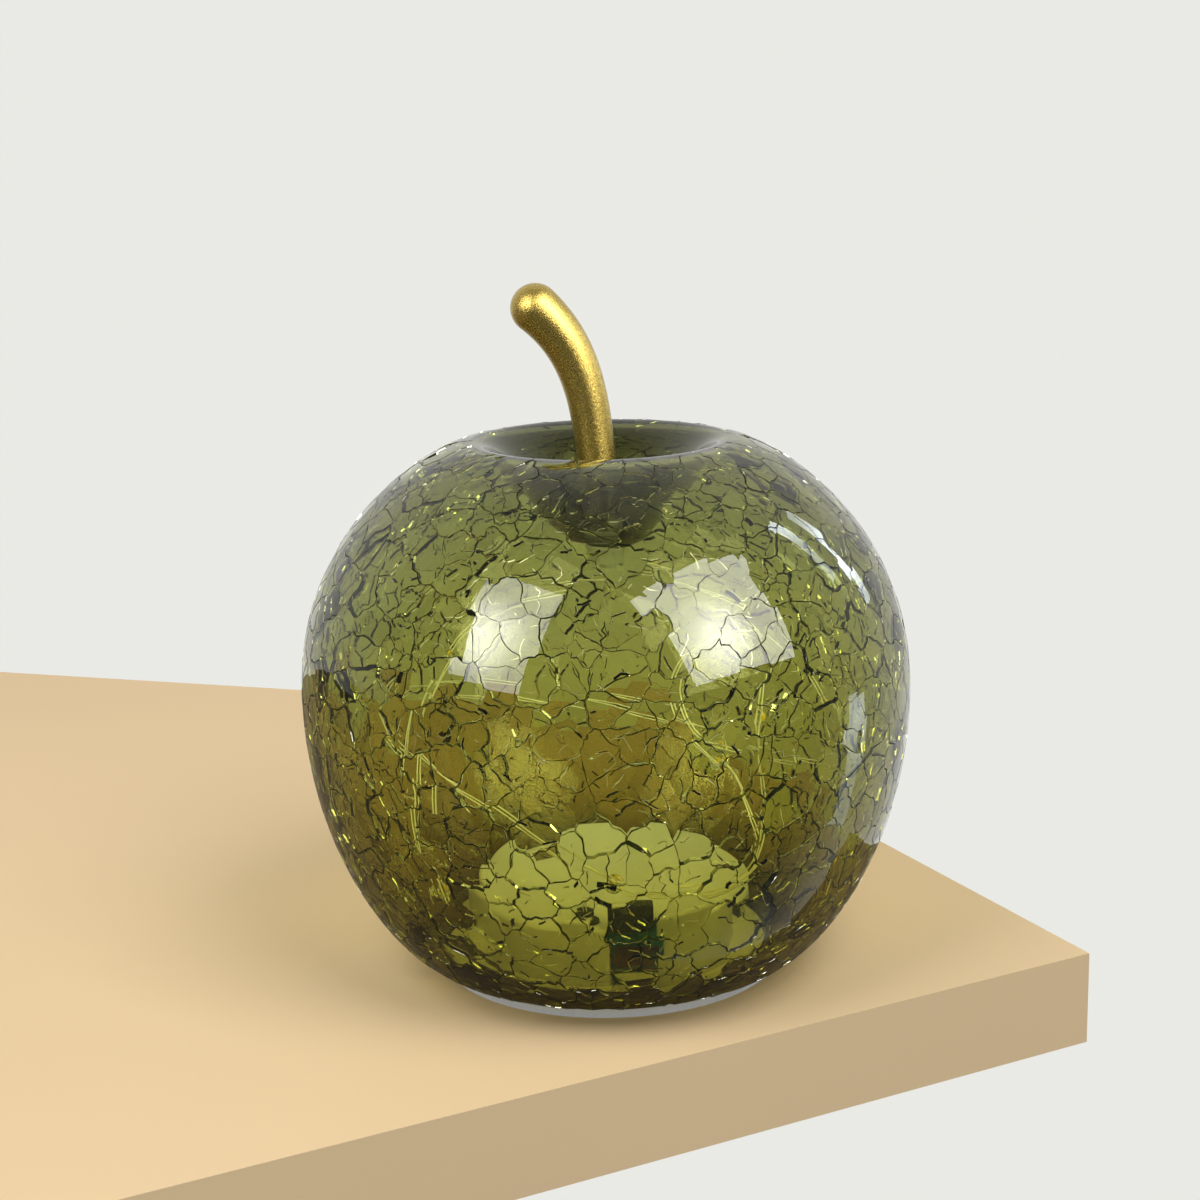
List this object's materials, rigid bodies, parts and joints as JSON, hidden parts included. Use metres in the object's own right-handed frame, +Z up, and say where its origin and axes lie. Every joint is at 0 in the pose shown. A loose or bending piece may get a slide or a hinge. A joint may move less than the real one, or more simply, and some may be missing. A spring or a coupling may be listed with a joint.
{
  "type": "lit glass apple ornament",
  "caption": "Battery-lit ornament: a hollow apple of green crackle glass with a curved gold stem, fairy lights inside and a round white base with a battery box, timer and slide switch.",
  "frame": {"origin": "centre of the foam ring under the base, on the table", "axes": "+Z up along the apple's axis, +X to the viewer's right, -Y towards the viewer, the stem's head leaning to -X"},
  "size_m": [0.15, 0.15, 0.1696],
  "materials": {
    "crackle_glass": "clear olive-green blown glass, crackled through, fire-polished outside",
    "stem_gold": "cast resin with satin metallic gold paint of fine grain",
    "zinc_steel": "zinc plated",
    "clear_gasket": "soft translucent silicone",
    "dark_gasket": "soft matt silicone",
    "clear_glue": "white silicone adhesive",
    "white_foam": "closed-cell foam, slightly soft",
    "white_plastic": "moulded ABS with a fine satin texture",
    "housing_plastic": "moulded ABS, slightly translucent, satin",
    "cell_sleeve": "plain shrink sleeve over a steel can, bare metal ends",
    "contact_steel": "nickel plated",
    "lead_insulation": "soft PVC, one black and one red",
    "board_green": "glass-fibre board under a teal solder mask",
    "chip_black": "potting resin, brown-black",
    "connector_black": "glossy black nylon",
    "switch_metal": "tinned steel can",
    "switch_black": "fine satin",
    "grommet_rubber": "matt black",
    "fairy_strand": "two enamelled copper strands, pale gold",
    "clear_drop": "clear potting resin",
    "chip_yellow": "yellow phosphor over the chip"
  },
  "bodies": {
    "apple": {"glass_shell": "crackle_glass", "glass_bond": "clear_glue", "stem": "stem_gold", "stem_stud": "zinc_steel", "stem_gasket_upper": "clear_gasket", "stem_gasket_lower": "dark_gasket", "stem_washer": "zinc_steel", "stem_nut": "zinc_steel", "foot_ring": "white_foam", "base_plate": "white_plastic", "housing_cover": "housing_plastic", "housing_screws": "zinc_steel", "battery_1": "cell_sleeve", "battery_2": "cell_sleeve", "battery_3": "cell_sleeve", "battery_springs": "contact_steel", "contact_plates": "contact_steel", "battery_leads": "lead_insulation", "control_board": "board_green", "timer_block": "chip_black", "board_connector": "connector_black", "switch_body": "switch_metal", "wire_grommet": "grommet_rubber", "fairy_wire": "fairy_strand", "light_drops": "clear_drop", "light_chips": "chip_yellow"},
    "door": {"battery_door": "white_plastic"},
    "screw": {"door_screw": "zinc_steel"},
    "switch_knob": {"switch_slider": "switch_black"}
  },
  "joints": [
    {"name": "door_hinge", "type": "hinge", "parent": "apple", "child": "door", "pos_m": [0, 0.01947, 0.0027], "axis": [1, 0, 0], "range_deg": [0, 85]},
    {"name": "door_screw_turn", "type": "hinge", "parent": "door", "child": "screw", "pos_m": [-0.005, -0.02152, 0.0027], "axis": [0, 0, 1], "continuous": true},
    {"name": "switch_slide", "type": "slide", "parent": "apple", "child": "switch_knob", "axis": [1, 0, 0], "range_m": [-0.002, 0.002]}
  ]
}
